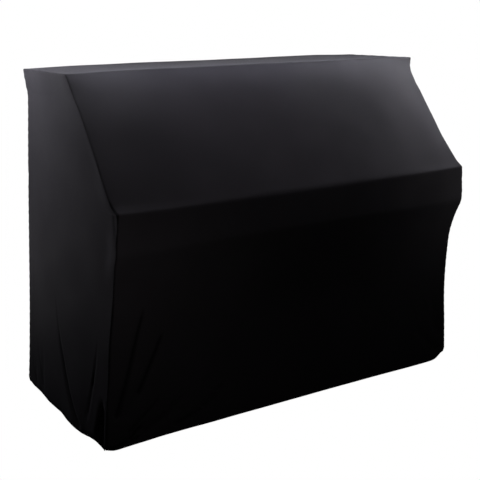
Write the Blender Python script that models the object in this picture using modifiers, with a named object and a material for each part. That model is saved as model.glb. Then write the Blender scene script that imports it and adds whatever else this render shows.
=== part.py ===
"""Fitted stretch cover of an upright piano, in the shape in which it hangs on the piano.

Three pieces of stretch knit. The body panel runs in one length from the front hem over the front edge of
the keyboard, up the slope, over the lid and down the back. A side panel is sewn into each of its edges.

Metres, +Z up, the front faces -Y. The origin is under the middle of the top, where the lid carries it.
Points are worked out as (across, depth, height): across from the middle, depth from the back plane
towards the front, height above the front hem. The function place() turns them into the part's frame.
"""

from collections import namedtuple

import bpy
import numpy as np

# Driving dimensions
HEIGHT = 1.208  # at the lid's front edge
BACK_HEIGHT = 1.200
LID_DEPTH = 0.388
NOSE_DEPTH = 0.712
NOSE_TOP = 0.804
NOSE_BOTTOM = 0.661
FOOT_DEPTH = 0.650
BODY_WIDTH = 1.500
SHEET = 0.002
SEAM_GAP = 0.0004

# How the cloth takes those shapes
EDGE_SOFTNESS = 0.0035  # rounding where the cloth turns over an edge
WAIST_FALL = 0.110  # height in which the cloth under the nose falls back to the legs
SEAM_REACH = 0.150  # how far into the panel a drawn-in seam pulls the cloth
BACK_FLARE = 0.010  # how far the back hem stands out from the wall side
HEM_BAND = 0.100  # height over which the hem's rise and fall fades out
LID_BOW = 0.0035  # how far the lid's edges stand above their ends
NOSE_SAG = 0.004  # how far the nose's edge hangs below its ends
BOW_REACH = 0.200  # from a seam to where those two are full
BOW_FADE = 0.100  # height over which they fade out
TUCK_RUN = 0.055  # along the hem, from a corner
TUCK_HEIGHT = 0.030
SEAM_HOLD = 0.030  # strip beside a seam that no fold reaches
NOSE_SPREAD = 0.110  # how far above and below the nose it pushes the front seams sideways
NOSE_PULL = 0.080  # how far into a side panel that push reaches
STAND_OUT_HEIGHT = 0.300  # height over which the side hem's standing out fades


def table(columns, *rows):
    """The columns of a table, by name."""
    return dict(zip(columns.split(), np.array(rows, float).T))


# The front seams: the cover's half width on each side, and how far each seam lies behind the panel's middle.
FRONT_SEAM = table(
    "height left right left_set_back right_set_back",
    (0.000, 0.783, 0.765, 0.0000, 0.0000),
    (0.140, 0.774, 0.758, 0.0000, 0.0000),
    (0.255, 0.765, 0.750, 0.0000, 0.0000),
    (0.370, 0.759, 0.747, 0.0000, 0.0000),
    (0.450, 0.752, 0.747, 0.0000, 0.0000),
    (0.520, 0.749, 0.745, 0.0000, 0.0000),
    (0.590, 0.752, 0.751, 0.0000, 0.0000),
    (0.651, 0.757, 0.757, 0.0000, 0.0000),
    (0.700, 0.756, 0.759, 0.0000, 0.0000),
    (0.760, 0.751, 0.755, 0.0000, 0.0000),
    (0.800, 0.750, 0.755, 0.0000, 0.0000),
    (0.811, 0.751, 0.757, 0.0160, 0.0100),
    (0.824, 0.752, 0.756, 0.0250, 0.0180),
    (0.850, 0.753, 0.754, 0.0260, 0.0230),
    (0.925, 0.750, 0.748, 0.0280, 0.0260),
    (1.000, 0.747, 0.750, 0.0315, 0.0260),
    (1.080, 0.746, 0.750, 0.0320, 0.0260),
    (1.105, 0.747, 0.749, 0.0320, 0.0270),
    (1.125, 0.749, 0.752, 0.0310, 0.0280),
    (1.150, 0.752, 0.757, 0.0255, 0.0310),
    (1.172, 0.757, 0.763, 0.0155, 0.0275),
    (1.190, 0.761, 0.766, 0.0065, 0.0160),
    (HEIGHT, 0.764, 0.768, 0.0000, 0.0000),
)
BACK_SEAM = table(
    "height left right",
    (0.000, 0.784, 0.778),
    (0.155, 0.776, 0.773),
    (0.345, 0.770, 0.766),
    (0.530, 0.765, 0.760),
    (0.755, 0.758, 0.754),
    (0.975, 0.749, 0.747),
    (1.065, 0.745, 0.744),
    (1.108, 0.744, 0.744),
    (1.130, 0.748, 0.747),
    (1.152, 0.751, 0.752),
    (1.177, 0.755, 0.757),
    (BACK_HEIGHT, 0.758, 0.760),
)
# Between its corners the hem hangs in waves. On the sides it stands out where it hangs lowest.
FRONT_HEM = table(
    "from_left drop",
    (0.000, 0.0000),
    (0.015, 0.0026),
    (0.045, 0.0036),
    (0.080, 0.0017),
    (0.125, 0.0005),
    (0.210, -0.0024),
    (0.300, -0.0026),
    (0.400, -0.0015),
    (0.800, -0.0013),
    (0.930, 0.0000),
    (1.200, 0.0016),
    (1.330, 0.0031),
    (1.420, 0.0026),
    (1.450, 0.0000),
    (BODY_WIDTH, 0.0000),
)
SIDE_HEM = table(
    "depth drop stand_out",
    (0.000, 0.0000, 0.000),
    (0.050, -0.0008, 0.001),
    (0.100, -0.0022, 0.002),
    (0.130, 0.0006, 0.002),
    (0.190, 0.0063, 0.003),
    (0.240, 0.0058, 0.003),
    (0.290, 0.0045, 0.003),
    (0.320, 0.0081, 0.004),
    (0.345, 0.0122, 0.005),
    (0.400, 0.0133, 0.007),
    (0.450, 0.0121, 0.006),
    (0.500, 0.0074, 0.002),
    (0.530, 0.0016, 0.001),
    (0.560, -0.0003, 0.000),
    (0.606, 0.0165, 0.000),
    (0.628, 0.0175, 0.000),
    (FOOT_DEPTH, 0.0000, 0.000),
)

# The hem at each corner: the height that it hangs at, how far the corner is drawn up from there and over
# which run, and how far it is tucked under the foot.
Corner = namedtuple("Corner", "level rise run tuck")
CORNERS = {
    ("front", "left"): Corner(level=0.000, rise=0.0045, run=0.030, tuck=0.004),
    ("front", "right"): Corner(level=-0.011, rise=0.023, run=0.058, tuck=0.004),
    ("back", "left"): Corner(level=0.010, rise=0.004, run=0.035, tuck=0.004),
    ("back", "right"): Corner(level=0.005, rise=0.020, run=0.050, tuck=0.006),
}

# Main folds. Each is a trough through three points, from where it starts to where it is deepest.
Fold = namedtuple("Fold", "start middle end width depth")
# Points are (distance from that seam, height).
FRONT_FOLDS = {
    "left": (
        Fold((0.122, 0.474), (0.086, 0.305), (0.040, 0.120), 0.017, 0.0060),
        Fold((0.205, 0.370), (0.150, 0.262), (0.075, 0.110), 0.019, 0.0050),
        Fold((0.330, 0.190), (0.235, 0.085), (0.115, 0.030), 0.020, 0.0040),
        Fold((0.165, 0.090), (0.110, 0.044), (0.055, 0.012), 0.014, 0.0045),
    ),
    "right": (
        Fold((0.115, 0.380), (0.075, 0.240), (0.040, 0.110), 0.020, 0.0035),
        Fold((0.200, 0.190), (0.130, 0.110), (0.065, 0.050), 0.020, 0.0030),
    ),
}
BACK_FOLDS = {
    "left": (Fold((0.140, 0.330), (0.090, 0.200), (0.045, 0.070), 0.022, 0.0035),),
    "right": (Fold((0.170, 0.280), (0.100, 0.160), (0.050, 0.060), 0.022, 0.0035),),
}
# Points are (depth, height).
SIDE_FOLDS = {
    "left": (
        Fold((0.262, 0.320), (0.325, 0.155), (0.440, 0.005), 0.016, 0.0080),
        Fold((0.572, 0.375), (0.544, 0.220), (0.492, 0.040), 0.015, 0.0060),
        Fold((0.616, 0.200), (0.610, 0.110), (0.600, 0.015), 0.022, 0.0140),
        Fold((0.122, 0.205), (0.126, 0.130), (0.132, 0.030), 0.015, 0.0030),
        Fold((0.058, 0.135), (0.064, 0.080), (0.072, 0.020), 0.012, 0.0030),
    ),
    "right": (
        Fold((0.430, 0.340), (0.480, 0.180), (0.560, 0.040), 0.020, 0.0060),
        Fold((0.300, 0.200), (0.340, 0.100), (0.400, 0.010), 0.020, 0.0050),
        Fold((0.100, 0.240), (0.080, 0.140), (0.060, 0.040), 0.018, 0.0040),
    ),
}
FOLD_POINTS = 60
FOLD_ONSET = 0.6  # part of its length over which a fold reaches its full depth
FOLD_RIDGE = 0.6  # how strongly the cloth stands up beside the trough

# Grid lines, as spans of (from, to, steps). Side columns are shares of the way from the back to the front.
TURN = 0.006
LID_TURN = 0.004
FRONT_HEIGHTS = (
    (0.000, 0.012, 1),
    (0.012, 0.300, 12),
    (0.300, 0.540, 5),
    (0.540, NOSE_BOTTOM - TURN, 4),
    (NOSE_BOTTOM - TURN, NOSE_BOTTOM + TURN, 2),
    (NOSE_BOTTOM + TURN, NOSE_TOP - TURN, 3),
    (NOSE_TOP - TURN, NOSE_TOP + TURN, 2),
    (NOSE_TOP + TURN, 1.172, 9),
    (1.172, HEIGHT - LID_TURN, 2),
)
BACK_HEIGHTS = (
    (0.000, 0.012, 1),
    (0.012, 0.300, 6),
    (0.300, 1.080, 4),
    (1.080, 1.177, 3),
    (1.177, BACK_HEIGHT - LID_TURN, 1),
)
TOP_DEPTHS = ((LID_TURN, LID_DEPTH - LID_TURN, 5),)
BODY_COLUMNS = (
    (0.000, 0.010, 1),
    (0.010, 0.290, 13),
    (0.290, 1.260, 7),
    (1.260, 1.490, 6),
    (1.490, BODY_WIDTH, 1),
)
SIDE_COLUMNS = {
    "left": ((0.00, 0.02, 1), (0.02, 0.36, 6), (0.36, 0.98, 20), (0.98, 1.00, 1)),
    "right": ((0.00, 0.02, 1), (0.02, 0.40, 5), (0.40, 0.98, 12), (0.98, 1.00, 1)),
}


def spaced(spans):
    """Grid lines through all the spans, end to end."""
    lines = [np.linspace(low, high, steps, endpoint=False) for low, high, steps in spans]
    return np.append(np.concatenate(lines), spans[-1][1])


def smooth(t):
    """0 to 1 with no kink, as t goes from 0 to 1."""
    t = np.clip(t, 0.0, 1.0)
    return t * t * (3.0 - 2.0 * t)


def curve(at, knots, values):
    """A smooth curve through the values at the knots, which never swings past them."""
    steps = np.diff(values) / np.diff(knots)
    before, after = steps[:-1], steps[1:]
    same_way = before * after > 0.0
    inner = np.where(same_way, 2.0 * before * after / np.where(same_way, before + after, 1.0), 0.0)
    slopes = np.concatenate([steps[:1], inner, steps[-1:]])
    first = np.clip(np.searchsorted(knots, at) - 1, 0, len(knots) - 2)
    span = knots[first + 1] - knots[first]
    t = np.clip((at - knots[first]) / span, 0.0, 1.0)
    start_slope = t * (1.0 - t) ** 2 * span * slopes[first]
    end_slope = t * t * (t - 1.0) * span * slopes[first + 1]
    return values[first] + smooth(t) * (values[first + 1] - values[first]) + start_slope + end_slope


def softly_least(*values):
    """The least of the values, rounded where two of them meet."""
    weights = sum(np.exp(-(value - values[0]) / EDGE_SOFTNESS) for value in values)
    return values[0] - EDGE_SOFTNESS * np.log(weights)


def drawn_in(along, height, folds):
    """How far the folds draw the cloth in at each point: a trough with a low ridge on each side."""
    depth = np.zeros(np.broadcast(along, height).shape)
    t = np.linspace(0.0, 1.0, FOLD_POINTS)[:, None]
    for fold in folds:
        start, middle, end = (np.array(point) for point in (fold.start, fold.middle, fold.end))
        control = 2.0 * middle - (start + end) / 2.0
        line = (1.0 - t) ** 2 * start + 2.0 * t * (1.0 - t) * control + t * t * end
        gaps = np.hypot(along[..., None] - line[:, 0], height[..., None] - line[:, 1])
        reached = t[gaps.argmin(axis=-1), 0]
        spread = (gaps.min(axis=-1) / (fold.width * (0.5 + 0.5 * reached))) ** 2
        section = (1.0 - FOLD_RIDGE * spread) * np.exp(-spread / 2.0)
        depth += fold.depth * smooth(reached / FOLD_ONSET) * section
    return depth


def taut_depth(height):
    """Front of the panel in the middle: the slope, the face of the nose, and the fall to the legs."""
    slope = LID_DEPTH + (HEIGHT - height) * (NOSE_DEPTH - LID_DEPTH) / (HEIGHT - NOSE_TOP)
    fall = FOOT_DEPTH + (NOSE_DEPTH - FOOT_DEPTH) * np.exp((height - NOSE_BOTTOM) / WAIST_FALL)
    return softly_least(np.full_like(height, NOSE_DEPTH), slope, fall)


def back_depth(height):
    """Back of the panel, which stands out a little towards its hem."""
    return -BACK_FLARE * (1.0 - smooth(height / NOSE_BOTTOM))


def lid_height(depth):
    """Height of the top, which rises a little towards the front."""
    return BACK_HEIGHT + (HEIGHT - BACK_HEIGHT) * depth / LID_DEPTH


def near_hem(height):
    """1 at the hem, fading out above it."""
    return np.clip(1.0 - height / HEM_BAND, 0.0, 1.0)


def bow(from_left, level, on_front):
    """How far the lid stands above its ends, and the nose's edge hangs below them."""
    clear = smooth(from_left / BOW_REACH) * smooth((BODY_WIDTH - from_left) / BOW_REACH)
    lifted = LID_BOW * smooth(1.0 - (BACK_HEIGHT - level) / BOW_FADE)
    sagging = NOSE_SAG * np.exp(-(((level - NOSE_TOP) / BOW_FADE) ** 2))
    return clear * (lifted - on_front * sagging)


def hem_rise(inboard, height, corner):
    """How far a corner lifts the cloth, at a distance from the seam."""
    return corner.rise * (1.0 - smooth(inboard / corner.run)) * near_hem(height)


def hem_tuck(inboard, height, corner):
    """How far the hem turns in under a foot, at a distance from the seam."""
    low = np.clip(1.0 - height / TUCK_HEIGHT, 0.0, 1.0) ** 2
    return corner.tuck * (1.0 - smooth(inboard / TUCK_RUN)) * low


def profile_rows():
    """The cover's profile in its middle, from the front hem round to the back hem, as arrays: which face
    each row is on (0 front, 1 top, 2 back), its depth and its height."""
    up, over, down = spaced(FRONT_HEIGHTS), spaced(TOP_DEPTHS)[::-1], spaced(BACK_HEIGHTS)[::-1]
    face = np.repeat(np.arange(3), [up.size, over.size, down.size])
    depth = np.concatenate([taut_depth(up), over, back_depth(down)])
    return face, depth, np.concatenate([up, lid_height(over), down])


def half_width(side, face, depth, height):
    """Half the cover's width at a seam."""
    front_tuck = hem_tuck(0.0, height, CORNERS["front", side])
    back_tuck = hem_tuck(0.0, height, CORNERS["back", side])
    front = curve(height, FRONT_SEAM["height"], FRONT_SEAM[side]) - front_tuck
    back = curve(height, BACK_SEAM["height"], BACK_SEAM[side]) - back_tuck
    front_top, back_top = FRONT_SEAM[side][-1], BACK_SEAM[side][-1]
    top = back_top + (front_top - back_top) * depth / LID_DEPTH
    return np.select([face == 0, face == 1], [front, top], back)


def nose_push(side, height):
    """How far the nose pushes a front seam out from where the seam would run without it."""
    knots, widths = FRONT_SEAM["height"], FRONT_SEAM[side]
    clear = (knots < NOSE_BOTTOM - NOSE_SPREAD) | (knots > NOSE_TOP + NOSE_SPREAD)
    return curve(height, knots, widths) - curve(height, knots[clear], widths[clear])


def seam_rows(side):
    """Seam of one side from the front hem round to the back hem, before the hem's corners are drawn up:
    arrays of face, depth, height and half width."""
    face, depth, height = profile_rows()
    set_back = curve(height, FRONT_SEAM["height"], FRONT_SEAM[side + "_set_back"])
    front_tuck = hem_tuck(0.0, height, CORNERS["front", side])
    back_tuck = hem_tuck(0.0, height, CORNERS["back", side])
    seam_depth = depth - (face == 0) * (set_back + front_tuck) + (face == 2) * back_tuck
    return face, seam_depth, height, half_width(side, face, depth, height)


def outward_normals(depths, heights):
    """Outward steps, as (depth, height), that move every stretch of the profile by one unit."""
    steps = np.diff(np.stack([depths, heights], axis=1), axis=0)
    steps /= np.linalg.norm(steps, axis=1, keepdims=True)
    faces = np.stack([steps[:, 1], -steps[:, 0]], axis=1)
    before, after = np.vstack([faces[:1], faces]), np.vstack([faces, faces[-1:]])
    return (before + after) / (1.0 + (before * after).sum(axis=1, keepdims=True))


def body_points():
    """The body panel's outer face, a row for each line across it."""
    rows = (row[:, None] for row in profile_rows())
    face, middle_depth, level, from_left = np.broadcast_arrays(*rows, spaced(BODY_COLUMNS)[None, :])
    on_front, on_back = face == 0, face == 2
    across, depth, height = np.zeros(level.shape), middle_depth.copy(), level.copy()
    height += bow(from_left, level, on_front)
    height -= on_front * near_hem(level) * curve(from_left, FRONT_HEM["from_left"], FRONT_HEM["drop"])
    for side, sign, inboard in (("left", -1.0, from_left), ("right", 1.0, BODY_WIDTH - from_left)):
        front, back = CORNERS["front", side], CORNERS["back", side]
        share = 1.0 - inboard / BODY_WIDTH
        across += sign * half_width(side, face, middle_depth, level) * np.clip(2.0 * share - 1.0, 0.0, 1.0)
        hold = smooth(inboard / SEAM_HOLD)
        in_front = hem_tuck(inboard, level, front) + hold * drawn_in(inboard, level, FRONT_FOLDS[side])
        behind = hem_tuck(inboard, level, back) + hold * drawn_in(inboard, level, BACK_FOLDS[side])
        set_back = curve(level, FRONT_SEAM["height"], FRONT_SEAM[side + "_set_back"])
        in_front = in_front + set_back * np.exp(-inboard / SEAM_REACH)
        depth += on_back * behind - on_front * in_front
        front_lift = near_hem(level) * share * front.level + hem_rise(inboard, level, front)
        back_lift = near_hem(level) * share * back.level + hem_rise(inboard, level, back)
        height += on_front * front_lift + on_back * back_lift
    return across, depth, height


def side_points(side):
    """A side panel's outer face, a row for each height, each row running from the back seam to the front."""
    face, depths, heights, widths = seam_rows(side)
    seam = np.stack([widths, depths, heights], axis=1)
    seam[:, 1:] -= (SHEET + SEAM_GAP) * outward_normals(depths, heights)
    front, over, behind = seam[face == 0], seam[face == 1], seam[face == 2]
    up = heights[face == 0]
    level_at_back = up * BACK_HEIGHT / HEIGHT
    back = np.stack([np.interp(level_at_back, behind[::-1, 2], column[::-1]) for column in behind.T], axis=1)
    share = spaced(SIDE_COLUMNS[side])[None, :]
    across, depth, height = np.moveaxis(back[:, None] + share[..., None] * (front - back)[:, None], -1, 0)
    rim = np.vstack([front[-1:], over, behind[:1]])[::-1]
    height[-1] = np.interp(depth[-1], rim[:, 1], rim[:, 2])

    level = np.broadcast_to(up[:, None], depth.shape)
    from_back, from_front = depth - depth[:, :1], depth[:, -1:] - depth
    across += nose_push(side, level) * (1.0 - smooth(from_front / NOSE_PULL) - share)
    inside = smooth(from_back / SEAM_HOLD) * smooth(from_front / SEAM_HOLD)
    drop = inside * curve(depth, SIDE_HEM["depth"], SIDE_HEM["drop"])
    stand_out = inside * curve(depth, SIDE_HEM["depth"], SIDE_HEM["stand_out"])
    across += (1.0 - smooth(level / STAND_OUT_HEIGHT)) * stand_out
    across -= inside * drawn_in(depth, level, SIDE_FOLDS[side])
    front_corner, back_corner = CORNERS["front", side], CORNERS["back", side]
    height += near_hem(level) * (back_corner.level + share * (front_corner.level - back_corner.level) - drop)
    height += hem_rise(from_front, level, front_corner) + hem_rise(from_back, level, back_corner)
    return across, depth, height


def place(across, depth, height):
    """Points in the part's frame: the origin is under the middle of the lid's top."""
    top = (HEIGHT + BACK_HEIGHT) / 2.0 + LID_BOW - SHEET
    return np.stack([across, LID_DEPTH / 2.0 - depth, height - top], axis=-1)


def knit_material():
    material = bpy.data.materials.new("black_stretch_knit")
    material.use_nodes = True
    shader = material.node_tree.nodes["Principled BSDF"]
    shader.inputs["Base Color"].default_value = (0.012, 0.012, 0.014, 1.0)
    shader.inputs["Roughness"].default_value = 0.85
    shader.inputs["Metallic"].default_value = 0.0
    return material


def add_sheet(name, points, flip, collection):
    """A sheet of cloth from the grid of points on its outer face, thickened inwards."""
    rows, columns, _ = points.shape
    index = np.arange(rows * columns).reshape(rows, columns)
    quads = np.stack([index[:-1, :-1], index[:-1, 1:], index[1:, 1:], index[1:, :-1]], axis=-1).reshape(-1, 4)
    if flip:
        quads = quads[:, ::-1]
    mesh = bpy.data.meshes.new(name)
    mesh.from_pydata(points.reshape(-1, 3).tolist(), [], quads.tolist())
    mesh.shade_smooth()
    mesh.materials.append(knit_material())
    sheet = bpy.data.objects.new(name, mesh)
    collection.objects.link(sheet)
    thicken = sheet.modifiers.new("thickness", "SOLIDIFY")
    thicken.thickness = SHEET
    thicken.offset = -1.0
    thicken.use_even_offset = True


def main():
    for old in list(bpy.data.objects):
        bpy.data.objects.remove(old, do_unlink=True)
    cover = bpy.data.collections.new("piano_cover")
    bpy.context.scene.collection.children.link(cover)
    across, depth, height = body_points()
    add_sheet("body_panel", place(across, depth, height), False, cover)
    for side, sign in (("left", -1.0), ("right", 1.0)):
        across, depth, height = side_points(side)
        add_sheet(side + "_panel", place(sign * across, depth, height), side == "right", cover)


main()
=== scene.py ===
"""A black stretch cover on an upright piano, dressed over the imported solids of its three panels.

Each panel is a thin sheet of knit on its solid's shape, with finer folds, an edge that rolls into its
seam, and a turned-up and stitched hem. Metres, +Z up. Points are worked out as (across, depth, height):
across from the middle, depth from the back plane towards the front, height above the front hem.
"""

import math
from collections import namedtuple

import bpy
import numpy as np
from mathutils import Matrix, Vector


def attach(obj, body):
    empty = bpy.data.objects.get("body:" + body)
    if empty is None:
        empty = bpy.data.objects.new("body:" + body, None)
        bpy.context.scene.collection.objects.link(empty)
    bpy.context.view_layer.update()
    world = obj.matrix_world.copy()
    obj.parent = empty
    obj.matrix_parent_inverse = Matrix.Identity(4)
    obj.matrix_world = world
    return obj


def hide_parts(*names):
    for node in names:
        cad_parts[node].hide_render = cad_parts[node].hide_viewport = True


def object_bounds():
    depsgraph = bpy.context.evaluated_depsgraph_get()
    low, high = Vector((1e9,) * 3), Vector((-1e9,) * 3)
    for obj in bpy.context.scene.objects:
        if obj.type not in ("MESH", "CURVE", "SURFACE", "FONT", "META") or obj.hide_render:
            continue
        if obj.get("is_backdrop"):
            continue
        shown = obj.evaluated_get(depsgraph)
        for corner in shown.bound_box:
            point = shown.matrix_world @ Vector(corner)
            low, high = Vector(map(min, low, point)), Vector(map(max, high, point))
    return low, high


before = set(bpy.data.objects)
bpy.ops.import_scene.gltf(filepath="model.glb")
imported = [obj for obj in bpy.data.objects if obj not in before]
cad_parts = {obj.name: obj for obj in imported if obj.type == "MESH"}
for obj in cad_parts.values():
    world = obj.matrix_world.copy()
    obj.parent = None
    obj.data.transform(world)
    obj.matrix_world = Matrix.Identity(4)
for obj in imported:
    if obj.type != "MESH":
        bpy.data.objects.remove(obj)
cad_low, cad_high = (list(corner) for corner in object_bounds())

# ---------------------------------------------------------------- the cover's sizes, as in its solids

HEIGHT = 1.208  # at the lid's front edge
BACK_HEIGHT = 1.200
LID_DEPTH = 0.388
NOSE_DEPTH = 0.712
NOSE_TOP = 0.804
NOSE_BOTTOM = 0.661
FOOT_DEPTH = 0.650
BODY_WIDTH = 1.500
SHEET = 0.002  # thickness of the solids
KNIT = 0.0009  # thickness of the cloth

# How the cloth takes those shapes
EDGE_SOFTNESS = 0.0035  # rounding where the cloth turns over an edge
WAIST_FALL = 0.110  # height in which the cloth under the nose falls back to the legs
SEAM_REACH = 0.150  # how far into the panel a drawn-in seam pulls the cloth
BACK_FLARE = 0.010  # how far the back hem stands out from the wall side
HEM_BAND = 0.100  # height over which the hem's rise and fall fades out
LID_BOW = 0.0035  # how far the lid's edges stand above their ends
NOSE_SAG = 0.004  # how far the nose's edge hangs below its ends
BOW_REACH = 0.200  # from a seam to where those two are full
BOW_FADE = 0.100  # height over which they fade out
TUCK_RUN = 0.055  # along the hem, from a corner
TUCK_HEIGHT = 0.030
SEAM_HOLD = 0.030  # strip beside a seam that no fold reaches
NOSE_SPREAD = 0.110  # how far above and below the nose it pushes the front seams sideways
NOSE_PULL = 0.080  # how far into a side panel that push reaches
STAND_OUT_HEIGHT = 0.300  # height over which the side hem's standing out fades


def table(columns, *rows):
    """The columns of a table, by name."""
    return dict(zip(columns.split(), np.array(rows, float).T))


# The front seams: the cover's half width on each side, and how far each lies behind the panel's middle.
FRONT_SEAM = table(
    "height left right left_set_back right_set_back",
    (0.000, 0.783, 0.765, 0.0000, 0.0000),
    (0.140, 0.774, 0.758, 0.0000, 0.0000),
    (0.255, 0.765, 0.750, 0.0000, 0.0000),
    (0.370, 0.759, 0.747, 0.0000, 0.0000),
    (0.450, 0.752, 0.747, 0.0000, 0.0000),
    (0.520, 0.749, 0.745, 0.0000, 0.0000),
    (0.590, 0.752, 0.751, 0.0000, 0.0000),
    (0.651, 0.757, 0.757, 0.0000, 0.0000),
    (0.700, 0.756, 0.759, 0.0000, 0.0000),
    (0.760, 0.751, 0.755, 0.0000, 0.0000),
    (0.800, 0.750, 0.755, 0.0000, 0.0000),
    (0.811, 0.751, 0.757, 0.0160, 0.0100),
    (0.824, 0.752, 0.756, 0.0250, 0.0180),
    (0.850, 0.753, 0.754, 0.0260, 0.0230),
    (0.925, 0.750, 0.748, 0.0280, 0.0260),
    (1.000, 0.747, 0.750, 0.0315, 0.0260),
    (1.080, 0.746, 0.750, 0.0320, 0.0260),
    (1.105, 0.747, 0.749, 0.0320, 0.0270),
    (1.125, 0.749, 0.752, 0.0310, 0.0280),
    (1.150, 0.752, 0.757, 0.0255, 0.0310),
    (1.172, 0.757, 0.763, 0.0155, 0.0275),
    (1.190, 0.761, 0.766, 0.0065, 0.0160),
    (HEIGHT, 0.764, 0.768, 0.0000, 0.0000),
)
BACK_SEAM = table(
    "height left right",
    (0.000, 0.784, 0.778),
    (0.155, 0.776, 0.773),
    (0.345, 0.770, 0.766),
    (0.530, 0.765, 0.760),
    (0.755, 0.758, 0.754),
    (0.975, 0.749, 0.747),
    (1.065, 0.745, 0.744),
    (1.108, 0.744, 0.744),
    (1.130, 0.748, 0.747),
    (1.152, 0.751, 0.752),
    (1.177, 0.755, 0.757),
    (BACK_HEIGHT, 0.758, 0.760),
)
# Between its corners the hem hangs in waves. On the sides it stands out where it hangs lowest.
FRONT_HEM = table(
    "from_left drop",
    (0.000, 0.0000),
    (0.015, 0.0026),
    (0.045, 0.0036),
    (0.080, 0.0017),
    (0.125, 0.0005),
    (0.210, -0.0024),
    (0.300, -0.0026),
    (0.400, -0.0015),
    (0.800, -0.0013),
    (0.930, 0.0000),
    (1.200, 0.0016),
    (1.330, 0.0031),
    (1.420, 0.0026),
    (1.450, 0.0000),
    (BODY_WIDTH, 0.0000),
)
SIDE_HEM = table(
    "depth drop stand_out",
    (0.000, 0.0000, 0.000),
    (0.050, -0.0008, 0.001),
    (0.100, -0.0022, 0.002),
    (0.130, 0.0006, 0.002),
    (0.190, 0.0063, 0.003),
    (0.240, 0.0058, 0.003),
    (0.290, 0.0045, 0.003),
    (0.320, 0.0081, 0.004),
    (0.345, 0.0122, 0.005),
    (0.400, 0.0133, 0.007),
    (0.450, 0.0121, 0.006),
    (0.500, 0.0074, 0.002),
    (0.530, 0.0016, 0.001),
    (0.560, -0.0003, 0.000),
    (0.606, 0.0165, 0.000),
    (0.628, 0.0175, 0.000),
    (FOOT_DEPTH, 0.0000, 0.000),
)

# The hem at each corner: the height that it hangs at, how far the corner is drawn up from there and over
# which run, and how far it is tucked under the foot.
Corner = namedtuple("Corner", "level rise run tuck")
CORNERS = {
    ("front", "left"): Corner(level=0.000, rise=0.0045, run=0.030, tuck=0.004),
    ("front", "right"): Corner(level=-0.011, rise=0.023, run=0.058, tuck=0.004),
    ("back", "left"): Corner(level=0.010, rise=0.004, run=0.035, tuck=0.004),
    ("back", "right"): Corner(level=0.005, rise=0.020, run=0.050, tuck=0.006),
}

# Main folds. Each is a trough through three points, from where it starts to where it is deepest.
Fold = namedtuple("Fold", "start middle end width depth")
# Points are (distance from that seam, height).
FRONT_FOLDS = {
    "left": (
        Fold((0.122, 0.474), (0.086, 0.305), (0.040, 0.120), 0.014, 0.0032),
        Fold((0.205, 0.370), (0.150, 0.262), (0.075, 0.110), 0.015, 0.0026),
        Fold((0.330, 0.190), (0.235, 0.085), (0.115, 0.030), 0.018, 0.0020),
        Fold((0.165, 0.090), (0.110, 0.044), (0.055, 0.012), 0.012, 0.0028),
    ),
    "right": (
        Fold((0.115, 0.380), (0.075, 0.240), (0.040, 0.110), 0.018, 0.0020),
        Fold((0.200, 0.190), (0.130, 0.110), (0.065, 0.050), 0.018, 0.0018),
    ),
}
BACK_FOLDS = {
    "left": (Fold((0.140, 0.330), (0.090, 0.200), (0.045, 0.070), 0.022, 0.0035),),
    "right": (Fold((0.170, 0.280), (0.100, 0.160), (0.050, 0.060), 0.022, 0.0035),),
}
# Points are (depth, height).
SIDE_FOLDS = {
    "left": (
        Fold((0.250, 0.350), (0.320, 0.165), (0.444, 0.020), 0.013, 0.0042),
        Fold((0.570, 0.375), (0.548, 0.235), (0.505, 0.070), 0.011, 0.0016),
        Fold((0.618, 0.180), (0.612, 0.105), (0.604, 0.015), 0.026, 0.0140),
        Fold((0.122, 0.205), (0.126, 0.130), (0.132, 0.030), 0.014, 0.0016),
        Fold((0.058, 0.135), (0.064, 0.080), (0.072, 0.020), 0.012, 0.0016),
    ),
    "right": (
        Fold((0.430, 0.340), (0.480, 0.180), (0.560, 0.040), 0.016, 0.0036),
        Fold((0.300, 0.200), (0.340, 0.100), (0.400, 0.010), 0.017, 0.0030),
        Fold((0.100, 0.240), (0.080, 0.140), (0.060, 0.040), 0.016, 0.0024),
    ),
}
FOLD_POINTS = 90
FOLD_START = 0.5  # width of a fold where it starts, as a share of that at its end
FOLD_ONSET = 0.6  # part of its length over which a fold reaches its full depth
FOLD_RIDGE = 0.3  # how strongly the cloth stands up beside the trough

# ---------------------------------------------------------------- what only the dressed part has

# Sharp creases on and beside the main folds, with the same columns, and the shade painted inside one.
Crease = namedtuple("Crease", "start middle end width depth shade")
FRONT_CREASES = {
    "left": (
        Crease((0.115, 0.485), (0.080, 0.295), (0.038, 0.115), 0.0090, 0.0030, 0.95),
        Crease((0.191, 0.377), (0.158, 0.290), (0.112, 0.180), 0.0085, 0.0024, 0.90),
        Crease((0.127, 0.067), (0.103, 0.041), (0.084, 0.018), 0.0060, 0.0024, 1.00),
        Crease((0.000, 0.014), (0.050, 0.013), (0.112, 0.022), 0.0060, 0.0016, 0.95),
        # Painted shade only, with no depth, along the seam above the hem
        Crease((0.000, 0.150), (0.001, 0.090), (0.003, 0.015), 0.0055, 0.0000, 1.00),
        Crease((0.389, 0.224), (0.380, 0.200), (0.368, 0.167), 0.0070, 0.0012, 0.40),
        Crease((0.444, 0.160), (0.372, 0.082), (0.256, 0.029), 0.0080, 0.0016, 0.50),
        Crease((0.190, 0.150), (0.140, 0.100), (0.082, 0.050), 0.0070, 0.0018, 0.60),
    ),
    "right": (
        Crease((0.090, 0.060), (0.055, 0.045), (0.020, 0.040), 0.0060, 0.0014, 0.50),
        Crease((0.130, 0.300), (0.090, 0.200), (0.050, 0.120), 0.0070, 0.0012, 0.30),
    ),
}
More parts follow.
